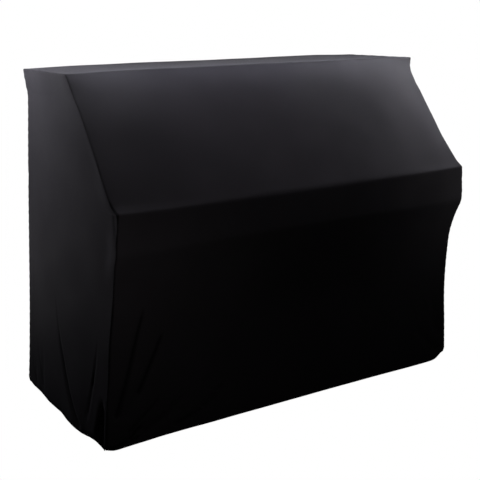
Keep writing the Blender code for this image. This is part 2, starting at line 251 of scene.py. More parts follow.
SIDE_CREASES = {
    "left": (
        Crease((0.226, 0.460), (0.312, 0.184), (0.450, 0.027), 0.0085, 0.0028, 1.00),
        Crease((0.568, 0.372), (0.551, 0.250), (0.514, 0.090), 0.0052, 0.0012, 0.75),
        Crease((0.548, 0.250), (0.543, 0.222), (0.538, 0.190), 0.0050, 0.0012, 0.70),
        Crease((0.616, 0.168), (0.596, 0.105), (0.572, 0.035), 0.0075, 0.0020, 0.80),
        # The next two are painted shadow only, with no depth: the dark wedge beside the front seam by the
        # hem
        Crease((0.622, 0.150), (0.618, 0.090), (0.612, 0.020), 0.0240, 0.0000, 1.00),
        Crease((0.645, 0.190), (0.643, 0.100), (0.642, 0.010), 0.0130, 0.0000, 1.00),
        Crease((0.057, 0.240), (0.096, 0.140), (0.137, 0.053), 0.0060, 0.0012, 0.50),
        Crease((0.014, 0.164), (0.042, 0.094), (0.080, 0.033), 0.0055, 0.0012, 0.50),
        Crease((0.682, 0.810), (0.689, 0.768), (0.706, 0.705), 0.0100, 0.0006, 1.00),
    ),
    "right": (
        Crease((0.600, 0.200), (0.600, 0.110), (0.612, 0.030), 0.0060, 0.0020, 0.60),
        Crease((0.440, 0.320), (0.490, 0.170), (0.566, 0.040), 0.0055, 0.0016, 0.60),
        Crease((0.340, 1.090), (0.352, 1.140), (0.372, 1.190), 0.0060, 0.0010, 0.30),
    ),
}
CREASE_ONSET = 0.15  # part of its length over which a crease reaches its full shade
PUCKER = 0.0005  # how far the seam's stitches gather the cloth
PUCKER_WAVES = ((0.031, 1.0, 0.0), (0.019, 0.6, 1.3))  # length, share and shift of each wave
PUCKER_REACH = 0.009  # how far from the seam they fade
UNEVEN = 0.0009  # slow unevenness of taut cloth

# The hem turns in under itself and up the inside: distance in from the outer face, and level.
HEM_DEPTH = 0.026
HEM_LAYER = 0.0028
HEM_TURN = table(
    "inward level",
    (HEM_LAYER, HEM_DEPTH),
    (HEM_LAYER, 0.0120),
    (HEM_LAYER, 0.0022),
    (0.0024, 0.0006),
    (0.0014, 0.0000),
    (0.0004, 0.0006),
    (0.0000, 0.0022),
)
# Section of a panel's edge from the flat cloth over the rolled lip down into the seam, with painted shade.
SEAM_ROLL = table(
    "inboard inward shade",
    (0.0056, 0.0001, 0.35),
    (0.0042, 0.0005, 0.65),
    (0.0030, 0.0013, 0.90),
    (0.0026, 0.0021, 1.00),
    (0.0032, 0.0029, 1.00),
    (0.0066, 0.0063, 1.00),
)
# Inside the seam, the body panel's edge goes on and turns behind the side panel's, in full painted shade.
SEAM_TURN = table(
    "inboard inward shade",
    (0.0080, 0.0077, 1.00),
    (0.0060, 0.0104, 1.00),
)
BODY_EDGE = {column: np.concatenate([SEAM_ROLL[column], SEAM_TURN[column]]) for column in SEAM_ROLL}
LIP_COLUMNS = 2  # of its points, the first ones, lie outside the seam
SEAM_SHADE = 0.10  # at the edge of the even grid
# How wide the seam's groove is and how much shade is painted into it, as shares of that: fine over the
# taut slope and near the hem, open between them.
SEAM_LOOK = table(
    "height size dark",
    (0.000, 0.45, 0.60),
    (0.170, 0.55, 0.70),
    (0.300, 1.00, 0.95),
    (0.450, 1.00, 1.00),
    (0.520, 0.80, 0.70),
    (0.780, 0.80, 0.60),
    (0.796, 1.20, 1.00),
    (0.822, 1.20, 1.00),
    (0.840, 0.55, 0.35),
    (1.000, 0.40, 0.20),
    (1.300, 0.30, 0.15),
)
FIELD_EDGE = 0.0075  # from the seam to where a panel's even grid begins

# The hem's two rows of stitches, and the shape of one: along it, across it and out of the cloth
STITCH_ROWS = (0.0215, 0.0243)  # levels above the hem
STITCH_PITCH = 0.0042
STITCH_LENGTH = 0.0031
STITCH_WIDTH = 0.0007
STITCH_RISE = 0.0004
STITCH_SIDES = 6  # round the thread
STITCH_RINGS = ((-0.30, 0.8), (0.0, 1.0), (0.30, 0.8))  # along the stitch, and thick, as shares
STITCH_DIP = -0.9  # height of its two ends, in rises

# The knit: columns of loops, and rows of them, which slant inside each column
WALE = 0.0013
COURSE = 0.0010
LOOP_SLANT = 1.3  # how steep, in rows for each column's width
LOOP_HEIGHT = 0.00025
THREAD_RELIEF = 0.0001
# Fineness of the paler patches, of the changes in gloss, of the yarn itself and of the thread's plies
PATCH_SCALE = 3.0
GLOSS_SCALE = 5.0
YARN_SCALE = 420.0
PLY_SCALE = 2600.0
# The yarn where it is freshest, where it is rubbed paler, and in painted shade in folds, seams and loops
YARN_DARK = (0.0200, 0.0198, 0.0208, 1.0)
YARN_WORN = (0.0260, 0.0258, 0.0270, 1.0)
YARN_PAINTED_SHADE = (0.0020, 0.0020, 0.0022, 1.0)

# Grid lines, as spans of (from, to, steps)
LID_FRONT_TURN = 0.006
LID_BACK_TURN = 0.0108
LID_TURN_STEPS = 6
FRONT_HEIGHTS = (
    (0.004, 0.030, 6),
    (0.030, 0.500, 92),
    (0.500, 0.650, 24),
    (0.650, 0.680, 9),
    (0.680, 0.793, 28),
    (0.793, 0.820, 12),
    (0.820, 1.110, 42),
    (1.110, HEIGHT - LID_FRONT_TURN, 18),
)
BACK_HEIGHTS = ((0.004, 0.030, 5), (0.030, 1.080, 40), (1.080, BACK_HEIGHT - LID_BACK_TURN, 14))
TOP_DEPTHS = ((LID_BACK_TURN, LID_DEPTH - LID_FRONT_TURN, 18),)
BODY_COLUMNS = (
    (FIELD_EDGE, 0.030, 6),
    (0.030, 0.310, 50),
    (0.310, 1.240, 34),
    (1.240, 1.470, 24),
    (1.470, BODY_WIDTH - FIELD_EDGE, 6),
)
SIDE_SHARES = ((0.00, 0.05, 8), (0.05, 0.35, 28), (0.35, 0.95, 88), (0.95, 1.00, 10))


def spaced(spans):
    """Grid lines through all the spans, end to end."""
    lines = [np.linspace(low, high, steps, endpoint=False) for low, high, steps in spans]
    return np.append(np.concatenate(lines), spans[-1][1])


def smooth(t):
    """0 to 1 with no kink, as t goes from 0 to 1."""
    t = np.clip(t, 0.0, 1.0)
    return t * t * (3.0 - 2.0 * t)


def curve(at, knots, values):
    """A smooth curve through the values at the knots, which never swings past them."""
    steps = np.diff(values) / np.diff(knots)
    before, after = steps[:-1], steps[1:]
    same_way = before * after > 0.0
    inner = np.where(same_way, 2.0 * before * after / np.where(same_way, before + after, 1.0), 0.0)
    slopes = np.concatenate([steps[:1], inner, steps[-1:]])
    first = np.clip(np.searchsorted(knots, at) - 1, 0, len(knots) - 2)
    span = knots[first + 1] - knots[first]
    t = np.clip((at - knots[first]) / span, 0.0, 1.0)
    start_slope = t * (1.0 - t) ** 2 * span * slopes[first]
    end_slope = t * t * (t - 1.0) * span * slopes[first + 1]
    return values[first] + smooth(t) * (values[first + 1] - values[first]) + start_slope + end_slope


def softly_least(*values):
    """The least of the values, rounded where two of them meet."""
    weights = sum(np.exp(-(value - values[0]) / EDGE_SOFTNESS) for value in values)
    return values[0] - EDGE_SOFTNESS * np.log(weights)


def follow(along, height, fold):
    """How far along a fold each point lies, and how far from it in widths, squared."""
    shape = np.broadcast(along, height).shape
    nearest, reached = np.full(shape, np.inf), np.zeros(shape)
    start, middle, end = (np.array(point) for point in (fold.start, fold.middle, fold.end))
    control = 2.0 * middle - (start + end) / 2.0
    for t in np.linspace(0.0, 1.0, FOLD_POINTS):
        spot = (1.0 - t) ** 2 * start + 2.0 * t * (1.0 - t) * control + t * t * end
        gap = (along - spot[0]) ** 2 + (height - spot[1]) ** 2
        closer = gap < nearest
        nearest[closer], reached[closer] = gap[closer], t
    width = fold.width * (FOLD_START + (1.0 - FOLD_START) * reached)
    return reached, nearest / width**2


def drawn_in(along, height, folds):
    """How far the folds draw the cloth in at each point: a trough with a low ridge on each side."""
    depth = np.zeros(np.broadcast(along, height).shape)
    for fold in folds:
        reached, spread = follow(along, height, fold)
        section = (1.0 - FOLD_RIDGE * spread) * np.exp(-spread / 2.0)
        depth += fold.depth * smooth(reached / FOLD_ONSET) * section
    return depth


def shaded(along, height, creases):
    """How much shade is painted on each point in the creases, from 0 to 1."""
    shade = np.zeros(np.broadcast(along, height).shape)
    for painted_crease_shade in creases:
        reached, spread = follow(along, height, painted_crease_shade)
        mark = painted_crease_shade.shade * smooth(reached / CREASE_ONSET) * np.exp(-spread / 2.0)
        shade = np.maximum(shade, mark)
    return shade


# ---------------------------------------------------------------- the shape of the cover


def taut_depth(height):
    """Front of the panel in the middle: the slope, the face of the nose, and the fall to the legs."""
    slope = LID_DEPTH + (HEIGHT - height) * (NOSE_DEPTH - LID_DEPTH) / (HEIGHT - NOSE_TOP)
    fall = FOOT_DEPTH + (NOSE_DEPTH - FOOT_DEPTH) * np.exp((height - NOSE_BOTTOM) / WAIST_FALL)
    return softly_least(np.full_like(height, NOSE_DEPTH), slope, fall)


def back_depth(height):
    """Back of the panel, which stands out a little towards its hem."""
    return -BACK_FLARE * (1.0 - smooth(height / NOSE_BOTTOM))


def lid_height(depth):
    """Height of the top, which rises a little towards the front."""
    return BACK_HEIGHT + (HEIGHT - BACK_HEIGHT) * depth / LID_DEPTH


def near_hem(height):
    """1 at the hem, fading out above it."""
    return np.clip(1.0 - height / HEM_BAND, 0.0, 1.0)


def bow(from_left, level, on_front):
    """How far the lid stands above its ends, and the nose's edge hangs below them."""
    clear = smooth(from_left / BOW_REACH) * smooth((BODY_WIDTH - from_left) / BOW_REACH)
    lifted = LID_BOW * smooth(1.0 - (BACK_HEIGHT - level) / BOW_FADE)
    sagging = NOSE_SAG * np.exp(-(((level - NOSE_TOP) / BOW_FADE) ** 2))
    return clear * (lifted - on_front * sagging)


def hem_rise(inboard, height, corner):
    """How far a corner lifts the cloth, at a distance from the seam."""
    return corner.rise * (1.0 - smooth(inboard / corner.run)) * near_hem(height)


def hem_tuck(inboard, height, corner):
    """How far the hem turns in under a foot, at a distance from the seam."""
    low = np.clip(1.0 - height / TUCK_HEIGHT, 0.0, 1.0) ** 2
    return corner.tuck * (1.0 - smooth(inboard / TUCK_RUN)) * low


def pucker(inboard, along):
    """Small gathers beside a seam."""
    turns = along * 2.0 * math.pi
    waves = sum(share * np.sin(turns / length + shift) for length, share, shift in PUCKER_WAVES)
    return PUCKER * waves * np.exp(-inboard / PUCKER_REACH)


def uneven(a, b):
    """Slow waves in taut cloth."""
    first = np.sin(8.3 * a + 3.1 * b + 0.4) * np.sin(9.7 * b - 2.2 * a + 1.1)
    second = np.sin(23.0 * a - 9.0 * b + 2.0) * np.sin(17.0 * b + 7.0 * a)
    return UNEVEN * (first + 0.4 * second)


def turned(start, corner, end):
    """Points of a rounded corner, without its first and last."""
    t = np.linspace(0.0, 1.0, LID_TURN_STEPS + 1)[1:-1, None]
    start, corner, end = (np.array(point) for point in (start, corner, end))
    return (1.0 - t) ** 2 * start + 2.0 * t * (1.0 - t) * corner + t * t * end


def profile_rows():
    """The cover's profile in its middle, from the front hem round to the back hem, as arrays: which face
    each row is on (0 front, 1 top, 2 back), its depth and height, and how far in the hem's layer lies."""
    up, down = spaced(FRONT_HEIGHTS), spaced(BACK_HEIGHTS)[::-1]
    over = spaced(TOP_DEPTHS)[::-1]
    rise = np.concatenate([HEM_TURN["level"], up])
    fall = np.concatenate([down, HEM_TURN["level"][::-1]])
    front = np.stack([taut_depth(rise), rise], axis=1)
    top = np.stack([over, lid_height(over)], axis=1)
    back = np.stack([back_depth(fall), fall], axis=1)
    front_turn = turned(front[-1], (LID_DEPTH, HEIGHT), top[0])
    back_turn = turned(top[-1], (0.0, BACK_HEIGHT), back[0])
    parts = (front, front_turn, top, back_turn, back)
    face = np.repeat([0, 0, 1, 2, 2], [len(part) for part in parts])
    depth, height = np.vstack(parts).T
    inward = np.zeros(len(face))
    inward[: HEM_TURN["inward"].size] = HEM_TURN["inward"]
    inward[-HEM_TURN["inward"].size :] = HEM_TURN["inward"][::-1]
    return face, depth, height, inward


def half_width(side, face, depth, height):
    """Half the cover's width at a seam."""
    front_tuck = hem_tuck(0.0, height, CORNERS["front", side])
    back_tuck = hem_tuck(0.0, height, CORNERS["back", side])
    front = curve(height, FRONT_SEAM["height"], FRONT_SEAM[side]) - front_tuck
    back = curve(height, BACK_SEAM["height"], BACK_SEAM[side]) - back_tuck
    front_top, back_top = FRONT_SEAM[side][-1], BACK_SEAM[side][-1]
    top = back_top + (front_top - back_top) * depth / LID_DEPTH
    return np.select([face == 0, face == 1], [front, top], back)


def nose_push(side, height):
    """How far the nose pushes a front seam out from where the seam would run without it."""
    knots, widths = FRONT_SEAM["height"], FRONT_SEAM[side]
    clear = (knots < NOSE_BOTTOM - NOSE_SPREAD) | (knots > NOSE_TOP + NOSE_SPREAD)
    return curve(height, knots, widths) - curve(height, knots[clear], widths[clear])


def body_surface(face, middle_depth, level, from_left):
    """Points of the body panel's outer face, from arrays of one shape."""
    on_front, on_back = face == 0, face == 2
    across, depth, height = np.zeros(level.shape), middle_depth.copy(), level.copy()
    height += bow(from_left, level, on_front)
    height -= on_front * near_hem(level) * curve(from_left, FRONT_HEM["from_left"], FRONT_HEM["drop"])
    for side, sign, inboard in (("left", -1.0, from_left), ("right", 1.0, BODY_WIDTH - from_left)):
        front, back = CORNERS["front", side], CORNERS["back", side]
        share = 1.0 - inboard / BODY_WIDTH
        across += sign * half_width(side, face, middle_depth, level) * np.clip(2.0 * share - 1.0, 0.0, 1.0)
        folds = FRONT_FOLDS[side] + FRONT_CREASES[side]
        hold = smooth(inboard / SEAM_HOLD)
        in_front = hem_tuck(inboard, level, front) + hold * drawn_in(inboard, level, folds)
        behind = hem_tuck(inboard, level, back) + hold * drawn_in(inboard, level, BACK_FOLDS[side])
        set_back = curve(level, FRONT_SEAM["height"], FRONT_SEAM[side + "_set_back"])
        in_front = in_front + set_back * np.exp(-inboard / SEAM_REACH)
        depth += on_back * behind - on_front * in_front
        front_lift = near_hem(level) * share * front.level + hem_rise(inboard, level, front)
        back_lift = near_hem(level) * share * back.level + hem_rise(inboard, level, back)
        height += on_front * front_lift + on_back * back_lift
    return np.stack([across, depth, height], axis=-1)


def profile_normals(depths, heights):
    """Outward steps, as (depth, height), that move every stretch of the profile by one unit."""
    steps = np.diff(np.stack([depths, heights], axis=1), axis=0)
    steps /= np.linalg.norm(steps, axis=1, keepdims=True)
    faces = np.stack([steps[:, 1], -steps[:, 0]], axis=1)
    before, after = np.vstack([faces[:1], faces]), np.vstack([faces, faces[-1:]])
    return (before + after) / (1.0 + (before * after).sum(axis=1, keepdims=True))


def place(points):
    """Points in the part's frame: the origin is under the middle of the lid's top."""
    across, depth, height = np.moveaxis(points, -1, 0)
    top = (HEIGHT + BACK_HEIGHT) / 2.0 + LID_BOW - SHEET
    return np.stack([across, LID_DEPTH / 2.0 - depth, height - top], axis=-1)


def seam_line(side):
    """A seam, as points whose across counts outwards, with the profile's normals and the hem's layer."""
    face, depth, level, inward = profile_rows()
    edge = np.full(level.size, 0.0 if side == "left" else BODY_WIDTH)
    points = body_surface(face, depth, level, edge)
    points[:, 0] = np.abs(points[:, 0])
    layers = HEM_TURN["level"].size - 1
    outer = slice(layers, level.size - layers)
    normals = profile_normals(points[outer, 1], points[outer, 2])
    normals = np.vstack([normals[:1]] * layers + [normals] + [normals[-1:]] * layers)
    return face, level, points, normals, inward


def seam_look(level):
    """The seam groove's size and darkness at each height, as columns."""
    size, dark = (np.interp(level, SEAM_LOOK["height"], SEAM_LOOK[column]) for column in ("size", "dark"))
    return size[:, None], dark[:, None]


def body_points():
    """The body panel's outer face with its rolled edges, a row for each line across it, and where each
    point lies in the cloth spread out flat, and the shade painted on it in the creases and seams."""
    face, depth, level, inward = profile_rows()
    along = np.concatenate([[0.0], np.cumsum(np.hypot(np.diff(depth), np.diff(level)))])
    size, dark = seam_look(level)
    inner = np.broadcast_to(spaced(BODY_COLUMNS), (level.size, spaced(BODY_COLUMNS).size))
    inboard, sunk = (size * BODY_EDGE[column] for column in ("inboard", "inward"))
    from_left = np.hstack([inboard[:, ::-1], inner, BODY_WIDTH - inboard])
    sunk = np.hstack([sunk[:, ::-1], np.zeros(inner.shape), sunk])
    face, depth, level = (np.broadcast_to(row[:, None], sunk.shape) for row in (face, depth, level))
    points = body_surface(face, depth, level, from_left)
    sinking = sunk + inward[:, None]
    sinking = sinking + pucker(from_left, level + depth) + pucker(BODY_WIDTH - from_left, level + depth)
    taut = smooth(from_left / SEAM_REACH) * smooth((BODY_WIDTH - from_left) / SEAM_REACH)
    sinking = sinking + taut * uneven(from_left, level + depth)
    normals = (seam_line("left")[3] + seam_line("right")[3]) / 2.0
    points[..., 1:] -= normals[:, None, :] * sinking[..., None]
    flat = np.stack(np.broadcast_arrays(from_left, along[:, None]), axis=-1)
    left = shaded(from_left, level, FRONT_CREASES["left"])
    right = shaded(BODY_WIDTH - from_left, level, FRONT_CREASES["right"])
    inner_shade = np.zeros(inner.shape[1])
    inner_shade[[0, -1]] = SEAM_SHADE
    # Painted shade along the seam's groove, and in the creases on the front
    at_seam = np.concatenate([BODY_EDGE["shade"][::-1], inner_shade, BODY_EDGE["shade"]])
    shade = np.maximum((face == 0) * np.maximum(left, right), at_seam * dark)
    return points, flat, shade


def top_at_shares(values, lengths, shares):
    """Values on the seam over the lid, from the front, at shares of its length from the back."""
    at = (1.0 - shares[1:-1][::-1]) * lengths[-1]
    return np.stack([np.interp(at, lengths, column) for column in values.T], axis=1)


def side_points(side):
    """A side panel's outer face in two grids: its field, a row for each level running from the back seam
    to the front, and its rolled edge, a row for each point along the seam. Then the shade painted on each
    of their points in the creases and the seam."""
    face, level, seam, normals, inward = seam_line(side)
    hem_rows = HEM_TURN["level"].size
    rows = hem_rows + spaced(FRONT_HEIGHTS).size
    behind = np.flatnonzero(face == 2)[LID_TURN_STEPS - 1 :][::-1]
    up = level[:rows]
    wanted = up[hem_rows:] * level[behind[-1]] / up[-1]
    shares = spaced(SIDE_SHARES)
    over = slice(rows - 1, behind[-1] + 1)
    lengths = np.concatenate([[0.0], np.cumsum(np.linalg.norm(np.diff(seam[over], axis=0), axis=1))])

    def around(values):
        """Values on the seam at the grid's rows up the front, its columns over the top, its rows down."""
        outer = behind[hem_rows - 1 :]
        rest = np.stack([np.interp(wanted, level[outer], column) for column in values[outer].T], axis=1)
        back = np.vstack([values[behind[:hem_rows]], rest])
        return np.vstack([values[:rows], top_at_shares(values[over], lengths, shares), back[::-1]])

    line, steps = around(seam), around(normals)
    layer = np.concatenate([inward[:rows], np.zeros(shares.size - 2), inward[:rows][::-1]])
    along = line[:, 1] + line[:, 2]

    size, dark = seam_look(line[:, 2])

    def rings(inboard, sunk):
        """Lines beside the seam, as points of (place along it, line)."""
        points = np.repeat(line[:, None], inboard.shape[1], axis=1)
        points[..., 1:] -= inboard[..., None] * steps[:, None]
        points[..., 0] -= sunk + layer[:, None]
        return points

    edge = rings(size * SEAM_ROLL["inboard"], size * SEAM_ROLL["inward"])
    edge[..., 0] -= pucker(size * SEAM_ROLL["inboard"], along[:, None])
    border = rings(np.full((len(line), 1), FIELD_EDGE), 0.0)[:, 0]
    front, top, back = border[:rows], border[rows:-rows][::-1], border[-rows:][::-1]
    field = back[:, None] + shares[None, :, None] * (front - back)[:, None]
    field[-1] = np.vstack([back[-1:], top, front[-1:]])

    levels, share = np.broadcast_arrays(up[:, None], shares[None, :])
    depth = field[..., 1].copy()
    from_back, from_front = depth - depth[:, :1], depth[:, -1:] - depth
    field[..., 0] += nose_push(side, levels) * (1.0 - smooth(from_front / NOSE_PULL) - share)
    field[..., 0] -= pucker(FIELD_EDGE + from_front, along[:rows, None])
    field[..., 0] -= pucker(FIELD_EDGE + from_back, along[-rows:][::-1, None])
    front_corner, back_corner = CORNERS["front", side], CORNERS["back", side]
    rises = (1.0 - share) * back_corner.rise + share * front_corner.rise
    inside = smooth(from_back / SEAM_HOLD) * smooth(from_front / SEAM_HOLD)
    drop = inside * curve(depth, SIDE_HEM["depth"], SIDE_HEM["drop"])
    stand_out = inside * curve(depth, SIDE_HEM["depth"], SIDE_HEM["stand_out"])
    field[..., 0] += (1.0 - smooth(levels / STAND_OUT_HEIGHT)) * stand_out
    field[..., 0] -= inside * drawn_in(depth, levels, SIDE_FOLDS[side] + SIDE_CREASES[side])
    field[..., 0] -= inside * uneven(depth + 0.7, levels)
    field[..., 2] += hem_rise(from_front, levels, front_corner) + hem_rise(from_back, levels, back_corner)
    field[..., 2] -= near_hem(levels) * (rises + drop)
    # Painted shade in the creases, at the grid's edges by the seams, and on the rolled edge
    shade = shaded(depth, levels, SIDE_CREASES[side])
    shade[:, [0, -1]] = np.maximum(shade[:, [0, -1]], SEAM_SHADE)
    shade[-1] = SEAM_SHADE
    creased = shaded(edge[..., 1], edge[..., 2], SIDE_CREASES[side])
    edge_shade = np.maximum(SEAM_ROLL["shade"] * dark, creased)
    return field, edge, np.concatenate([shade.ravel(), edge_shade.ravel()])


# ---------------------------------------------------------------- meshes


def grid_quads(index):
    """Quads of a grid of vertex numbers."""
    corners = (index[:-1, :-1], index[:-1, 1:], index[1:, 1:], index[1:, :-1])
    return np.stack(corners, axis=-1).reshape(-1, 4)


def add_mesh(name, points, faces, material, flat=None):
    """A mesh, with its map of the cloth spread out flat, in metres."""
    mesh = bpy.data.meshes.new(name)
    mesh.from_pydata(points.tolist(), [], faces.tolist())
    mesh.shade_smooth()
    if flat is not None:
        corners = np.empty(len(mesh.loops), np.int32)
        mesh.loops.foreach_get("vertex_index", corners)
        mesh.uv_layers.new(name="cloth").data.foreach_set("uv", flat[corners].ravel())
    mesh.materials.append(material)
    thing = bpy.data.objects.new(name, mesh)
    bpy.context.scene.collection.objects.link(thing)
    return thing


def add_cloth(name, points, faces, material, flat, shade):
    """A sheet of knit under its outer face, with the shade painted on each point in the creases and seams.
    """
    cloth = add_mesh(name, points, faces, material, flat)
    cloth.data.attributes.new("painted_crease_shade", "FLOAT", "POINT").data.foreach_set("value", shade.ravel())
    thicken = cloth.modifiers.new("thickness", "SOLIDIFY")
    thicken.thickness = KNIT
    thicken.offset = -1.0
    return cloth


def build_body(points, flat, shade, material):
    """The body panel from its grid."""
    index = np.arange(points.shape[0] * points.shape[1]).reshape(points.shape[:2])
    points = place(points).reshape(-1, 3)
    return add_cloth("body_cloth", points, grid_quads(index), material, flat.reshape(-1, 2), shade)


def build_side(side, field, edge, shade, material):
    """A side panel from its two grids, joined along the field's border."""
    field_index = np.arange(field.shape[0] * field.shape[1]).reshape(field.shape[:2])
    edge_index = np.arange(edge.shape[0] * edge.shape[1]).reshape(edge.shape[:2]) + field_index.size
    border = np.concatenate([field_index[:, -1], field_index[-1, 1:-1][::-1], field_index[::-1, 0]])
    strip = np.column_stack([border, edge_index])
    quads = np.vstack([grid_quads(field_index), grid_quads(strip)])
    points = np.vstack([field.reshape(-1, 3), edge.reshape(-1, 3)])
    flat = points[:, 1:].copy()
    if side == "left":
        points[:, 0] *= -1.0
    else:
        quads = quads[:, ::-1]
    return add_cloth(side + "_cloth", place(points), quads, material, flat, shade)


def line_at(points, levels, level):
    """Points of a grid at a level between two of its rows, with the cloth's way up there."""
    above = int(np.searchsorted(levels, level))
    low, high = points[above - 1], points[above]
    part = (level - levels[above - 1]) / (levels[above] - levels[above - 1])
    return low + part * (high - low), high - low


def one_stitch():
    """Points and triangles of a short rounded thread, which dips into the cloth at both ends."""
    around = np.arange(STITCH_SIDES)
    beyond = (around + 1) % STITCH_SIDES
    angles = around * 2.0 * math.pi / STITCH_SIDES
    circle = np.stack([np.zeros(STITCH_SIDES), np.cos(angles), np.sin(angles)], axis=1)
    rings = [circle * (1.0, width, width) + (along, 0.0, 0.0) for along, width in STITCH_RINGS]
    points = np.vstack([[(-0.5, 0.0, STITCH_DIP)], *rings, [(0.5, 0.0, STITCH_DIP)]])
    last = len(points) - 1
    faces = [np.column_stack([0 * around, 1 + beyond, 1 + around])]
    for first in 1 + STITCH_SIDES * np.arange(len(STITCH_RINGS) - 1):
        near, far = first + around, first + STITCH_SIDES + around
        near_beyond, far_beyond = first + beyond, first + STITCH_SIDES + beyond
        faces.append(np.column_stack([near, near_beyond, far_beyond]))
        faces.append(np.column_stack([near, far_beyond, far]))
    end = last - STITCH_SIDES
    faces.append(np.column_stack([last + 0 * around, end + around, end + beyond]))
    return points * (STITCH_LENGTH, STITCH_WIDTH / 2.0, STITCH_RISE), np.vstack(faces)


def along_line(at, run, line):
    """Points at distances along a line."""
    return np.stack([np.interp(at, run, column) for column in line.T], axis=1)


def hem_stitches(name, grids, material):
    """Two rows of stitches along each hem. A grid comes with its rows' levels, and its rows run so that
    ahead times up points out of the cloth."""
    shape, faces = one_stitch()
    points = []
    for grid, levels in grids:
        for level in STITCH_ROWS:
            line, up = line_at(grid, levels, level)
            run = np.concatenate([[0.0], np.cumsum(np.linalg.norm(np.diff(line, axis=0), axis=1))])
            at = np.arange(STITCH_PITCH, run[-1] - STITCH_PITCH, STITCH_PITCH)
            start, end = (along_line(at + side * STITCH_LENGTH / 2.0, run, line) for side in (-1.0, 1.0))
            ahead = end - start
            out = np.cross(ahead, along_line(at, run, up))
            axes = np.stack([ahead, np.cross(out, ahead), out], axis=1)
            axes /= np.linalg.norm(axes, axis=2, keepdims=True)
            points.append(((start + end) / 2.0)[:, None] + np.einsum("vk,skc->svc", shape, axes))
    points = np.concatenate(points)
    steps = np.arange(len(points))[:, None, None] * len(shape)
    return add_mesh(name, points.reshape(-1, 3), (faces[None] + steps).reshape(-1, 3), material)


# ---------------------------------------------------------------- material


class Nodes:
    """Short ways to add and link the nodes of a material."""

    def __init__(self, material):
        self.tree = material.node_tree
        self.shader = self.tree.nodes["Principled BSDF"]

    def link(self, source, target):
        self.tree.links.new(source, target)

    def math(self, operation, *values):
        node = self.tree.nodes.new("ShaderNodeMath")
        node.operation = operation
        for value, socket in zip(values, node.inputs):
            if isinstance(value, (int, float)):
                socket.default_value = value
            else:
                self.link(value, socket)
        return node.outputs[0]

    def noise(self, scale, detail=2.0):
        """Noise in the part's own space, so that it runs on from panel to panel."""
        coordinates = self.tree.nodes.new("ShaderNodeTexCoord")
        noise = self.tree.nodes.new("ShaderNodeTexNoise")
        noise.inputs["Scale"].default_value = scale
        noise.inputs["Detail"].default_value = detail
        self.link(coordinates.outputs["Object"], noise.inputs["Vector"])
        return noise.outputs["Fac"]

    def between(self, value, low, high, from_low=0.3, from_high=0.7):
        """The value, spread from low to high."""
        node = self.tree.nodes.new("ShaderNodeMapRange")
        node.inputs["From Min"].default_value = from_low
        node.inputs["From Max"].default_value = from_high
        node.inputs["To Min"].default_value = low
        node.inputs["To Max"].default_value = high
        self.link(value, node.inputs["Value"])
        return node.outputs[0]

    def mix(self, factor, first, second):
        """A colour between two, the first of which may come from another node."""
        node = self.tree.nodes.new("ShaderNodeMix")
        node.data_type = "RGBA"
        if isinstance(first, tuple):
            node.inputs["A"].default_value = first
        else:
            self.link(first, node.inputs["A"])
        node.inputs["B"].default_value = second
        self.link(factor, node.inputs["Factor"])
        return node.outputs["Result"]

    def bump(self, height, strength, distance):
        """Relief on the shader's surface."""
        node = self.tree.nodes.new("ShaderNodeBump")
        node.inputs["Strength"].default_value = strength
        node.inputs["Distance"].default_value = distance
        self.link(height, node.inputs["Height"])
        self.link(node.outputs[0], self.shader.inputs["Normal"])


def knit_height(nodes):
    """Relief of the loops: rounded columns, and rows that slant up on both sides of each column."""
    flat = nodes.tree.nodes.new("ShaderNodeUVMap")
    flat.uv_map = "cloth"
    split = nodes.tree.nodes.new("ShaderNodeSeparateXYZ")
    nodes.link(flat.outputs[0], split.inputs[0])
    column = nodes.math("FRACT", nodes.math("MULTIPLY", split.outputs["X"], 1.0 / WALE))
    off_middle = nodes.math("ABSOLUTE", nodes.math("SUBTRACT", column, 0.5))
    crown = nodes.math("SUBTRACT", 1.0, nodes.math("POWER", nodes.math("MULTIPLY", off_middle, 2.0), 2.0))
    slant = nodes.math("MULTIPLY", off_middle, LOOP_SLANT)
    row = nodes.math("ADD", nodes.math("MULTIPLY", split.outputs["Y"], 1.0 / COURSE), slant)
    loop = nodes.math("SINE", nodes.math("MULTIPLY", row, 2.0 * math.pi))
    return nodes.math("MULTIPLY", crown, nodes.between(loop, 0.3, 1.0, -1.0, 1.0))


def knit_material():
    """Black stretch knit: nearly black yarn under a thin sheen, in fine columns of loops, with shade
    painted into its creases, its seams and the hollows between its loops.
    """
    material = bpy.data.materials.new("black_stretch_knit")
    material.use_nodes = True
    nodes = Nodes(material)
    shader = nodes.shader
    height = knit_height(nodes)
    # Broad patches, with a little of the yarn's own unevenness
    own = nodes.math("MULTIPLY", nodes.noise(YARN_SCALE), 0.25)
    wear = nodes.math("ADD", nodes.noise(PATCH_SCALE, 3.0), own)
    yarn = nodes.mix(nodes.between(wear, 0.0, 1.0, 0.45, 0.80), YARN_DARK, YARN_WORN)
    # Painted shade: darker yarn in the creases and seams, from the point attribute, and between the loops
    painted_crease_shade = nodes.tree.nodes.new("ShaderNodeAttribute")
    painted_crease_shade.attribute_name = "painted_crease_shade"
    low = nodes.between(height, 0.45, 0.0, 0.0, 0.5)
    shaded_yarn = nodes.mix(nodes.math("MAXIMUM", low, painted_crease_shade.outputs["Fac"]), yarn, YARN_PAINTED_SHADE)
    nodes.link(shaded_yarn, shader.inputs["Base Color"])
    gloss = nodes.noise(GLOSS_SCALE, 3.0)
    nodes.link(nodes.between(gloss, 0.72, 0.86), shader.inputs["Roughness"])
    nodes.bump(height, 0.4, LOOP_HEIGHT)
    shader.inputs["Specular IOR Level"].default_value = 0.15
    shader.inputs["Sheen Weight"].default_value = 0.06
    shader.inputs["Sheen Roughness"].default_value = 0.4
    shader.inputs["Sheen Tint"].default_value = (0.90, 0.91, 1.0, 1.0)
    return material


